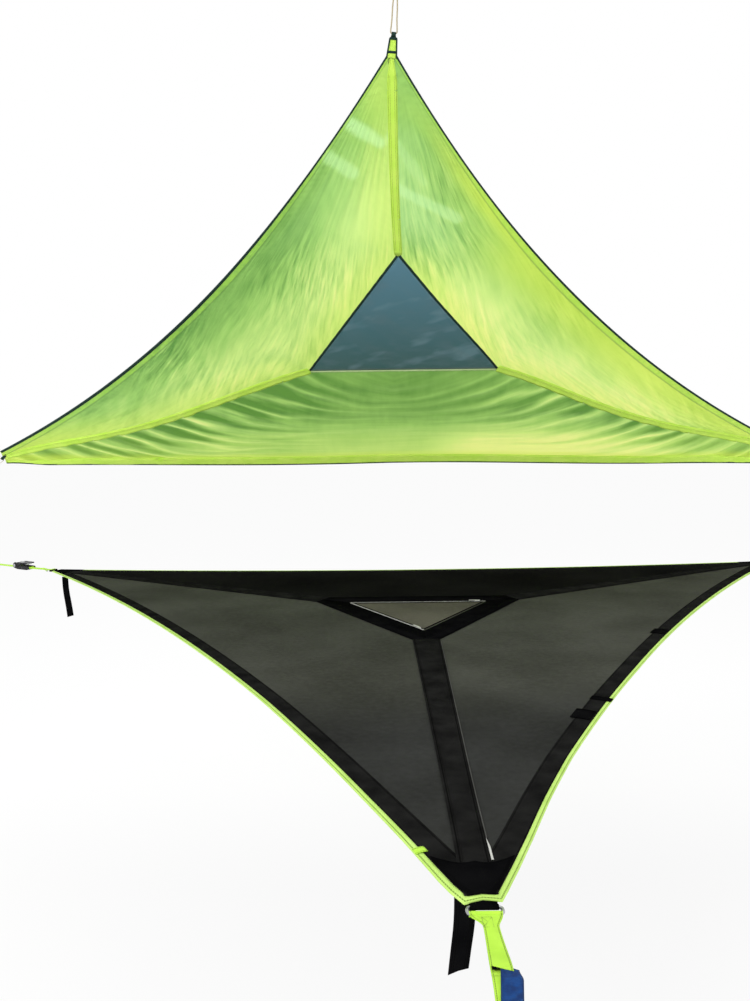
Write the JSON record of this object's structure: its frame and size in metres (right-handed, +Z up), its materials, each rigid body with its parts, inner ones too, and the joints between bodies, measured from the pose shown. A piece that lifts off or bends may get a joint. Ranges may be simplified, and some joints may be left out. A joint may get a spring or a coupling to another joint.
{
  "type": "hammock tent",
  "caption": "Flat triangular mesh hammock stretched between three webbing tethers with ratchets, under a pitched triangular canopy with a dark window panel.",
  "frame": {"origin": "middle of the hammock in the middle plane of its cloth, halfway between the three tethers", "axes": "+Z up, -Y towards the near corner, +X to the right as the open side of the canopy is faced"},
  "size_m": [6.2172, 5.3843, 2.4871],
  "materials": {
    "black_mesh": "woven polyester mesh",
    "door_mesh": "woven polyester mesh, lighter",
    "black_webbing": "woven webbing",
    "lime_webbing": "woven webbing",
    "lime_nylon": "thin coated nylon, lets light through",
    "slate_nylon": "thin coated nylon",
    "dark_binding": "woven binding tape",
    "blue_label": "woven label, bare",
    "steel": "zinc plated",
    "dark_steel": "black coated pressed steel",
    "zip_nylon": "moulded nylon",
    "tan_cord": "twisted cord"
  },
  "bodies": {
    "cloths_and_tethers": {"mesh_panel_back": "black_mesh", "mesh_panel_left": "black_mesh", "mesh_panel_right": "black_mesh", "edge_band_back": "black_webbing", "edge_band_left": "black_webbing", "edge_band_right": "black_webbing", "edge_webbing": "lime_webbing", "seam_band_near": "black_webbing", "seam_band_right": "black_webbing", "seam_band_left": "black_webbing", "hatch_frame": "black_webbing", "zip_track": "zip_nylon", "corner_loop_near": "black_webbing", "ring_near": "steel", "corner_strap_near": "lime_webbing", "ratchet_frame_near": "dark_steel", "tree_strap_near": "lime_webbing", "corner_loop_right": "black_webbing", "ring_right": "steel", "corner_strap_right": "lime_webbing", "ratchet_frame_right": "dark_steel", "tree_strap_right": "lime_webbing", "corner_loop_left": "black_webbing", "ring_left": "steel", "corner_strap_left": "lime_webbing", "ratchet_frame_left": "dark_steel", "tree_strap_left": "lime_webbing", "tether_tag": "blue_label", "canopy_panel_left": "lime_nylon", "canopy_panel_right": "lime_nylon", "canopy_panel_lower": "lime_nylon", "canopy_window": "slate_nylon", "canopy_seam_left": "lime_webbing", "canopy_seam_right": "lime_webbing", "canopy_seam_peak": "lime_webbing", "canopy_piping": "dark_binding", "canopy_hem": "lime_webbing", "canopy_loop_left": "dark_binding", "canopy_loop_right": "dark_binding", "canopy_loop_peak": "dark_binding", "canopy_cord_peak": "tan_cord", "canopy_cord_left": "tan_cord", "canopy_cord_right": "tan_cord", "canopy_hook_left": "steel", "canopy_hook_right": "steel"},
    "ratchet_handle_near": {"ratchet_handle_near": "dark_steel"},
    "ratchet_spool_near": {"ratchet_spool_near": "steel"},
    "ratchet_trigger_near": {"ratchet_trigger_near": "steel"},
    "hanging_strap_near": {"hanging_strap_near": "black_webbing"},
    "ratchet_handle_right": {"ratchet_handle_right": "dark_steel"},
    "ratchet_spool_right": {"ratchet_spool_right": "steel"},
    "ratchet_trigger_right": {"ratchet_trigger_right": "steel"},
    "hanging_strap_right": {"hanging_strap_right": "black_webbing"},
    "ratchet_handle_left": {"ratchet_handle_left": "dark_steel"},
    "ratchet_spool_left": {"ratchet_spool_left": "steel"},
    "ratchet_trigger_left": {"ratchet_trigger_left": "steel"},
    "hanging_strap_left": {"hanging_strap_left": "black_webbing"},
    "hatch_door": {"hatch_door": "door_mesh"},
    "zip_slider_left": {"zip_slider_left": "zip_nylon"},
    "zip_slider_back": {"zip_slider_back": "zip_nylon"}
  },
  "joints": [
    {"name": "ratchet_handle_hinge_near", "type": "hinge", "parent": "cloths_and_tethers", "child": "ratchet_handle_near", "pos_m": [0, -2.7144, 0.0103], "axis": [1, 0, 0], "range_deg": [0, 150]},
    {"name": "ratchet_spool_turn_near", "type": "hinge", "parent": "cloths_and_tethers", "child": "ratchet_spool_near", "pos_m": [0, -2.7144, 0.0103], "axis": [1, 0, 0], "continuous": true},
    {"name": "ratchet_trigger_pull_near", "type": "slide", "parent": "ratchet_handle_near", "child": "ratchet_trigger_near", "axis": [0, 1, 0], "range_m": [0, 0.006], "stiffness_N_per_m": 300, "springref_m": -0.002},
    {"name": "hanging_strap_swing_near", "type": "hinge", "parent": "cloths_and_tethers", "child": "hanging_strap_near", "pos_m": [-0.034, -2.2144, -0.00495], "axis": [1, 0, 0], "range_deg": [-75, 75]},
    {"name": "ratchet_handle_hinge_right", "type": "hinge", "parent": "cloths_and_tethers", "child": "ratchet_handle_right", "pos_m": [2.20352, 1.2722, 0.0103], "axis": [-0.5, 0.866, 0], "range_deg": [0, 150]},
    {"name": "ratchet_spool_turn_right", "type": "hinge", "parent": "cloths_and_tethers", "child": "ratchet_spool_right", "pos_m": [2.20352, 1.2722, 0.0103], "axis": [-0.5, 0.866, 0], "continuous": true},
    {"name": "ratchet_trigger_pull_right", "type": "slide", "parent": "ratchet_handle_right", "child": "ratchet_trigger_right", "axis": [-0.866, -0.5, 0], "range_m": [0, 0.006], "stiffness_N_per_m": 300, "springref_m": -0.002},
    {"name": "hanging_strap_swing_right", "type": "hinge", "parent": "cloths_and_tethers", "child": "hanging_strap_right", "pos_m": [1.81935, 0.92784, -0.00165], "axis": [1, 0, 0], "range_deg": [-75, 75]},
    {"name": "ratchet_handle_hinge_left", "type": "hinge", "parent": "cloths_and_tethers", "child": "ratchet_handle_left", "pos_m": [-2.20352, 1.2722, 0.0103], "axis": [-0.5, -0.866, 0], "range_deg": [0, 150]},
    {"name": "ratchet_spool_turn_left", "type": "hinge", "parent": "cloths_and_tethers", "child": "ratchet_spool_left", "pos_m": [-2.20352, 1.2722, 0.0103], "axis": [-0.5, -0.866, 0], "continuous": true},
    {"name": "ratchet_trigger_pull_left", "type": "slide", "parent": "ratchet_handle_left", "child": "ratchet_trigger_left", "axis": [0.866, -0.5, 0], "range_m": [0, 0.006], "stiffness_N_per_m": 300, "springref_m": -0.002},
    {"name": "hanging_strap_swing_left", "type": "hinge", "parent": "cloths_and_tethers", "child": "hanging_strap_left", "pos_m": [-1.81935, 0.92784, -0.00165], "axis": [1, 0, 0], "range_deg": [-75, 75]},
    {"name": "hatch_door_hinge", "type": "hinge", "parent": "cloths_and_tethers", "child": "hatch_door", "pos_m": [0.145, -0.08372, 0.0006], "axis": [0.5, 0.866, 0], "range_deg": [0, 165]},
    {"name": "zip_slider_left_run", "type": "slide", "parent": "cloths_and_tethers", "child": "zip_slider_left", "axis": [-0.5, 0.866, 0], "range_m": [0, 0.48]},
    {"name": "zip_slider_back_run", "type": "slide", "parent": "cloths_and_tethers", "child": "zip_slider_back", "axis": [-1, 0, 0], "range_m": [0, 0.48]}
  ]
}
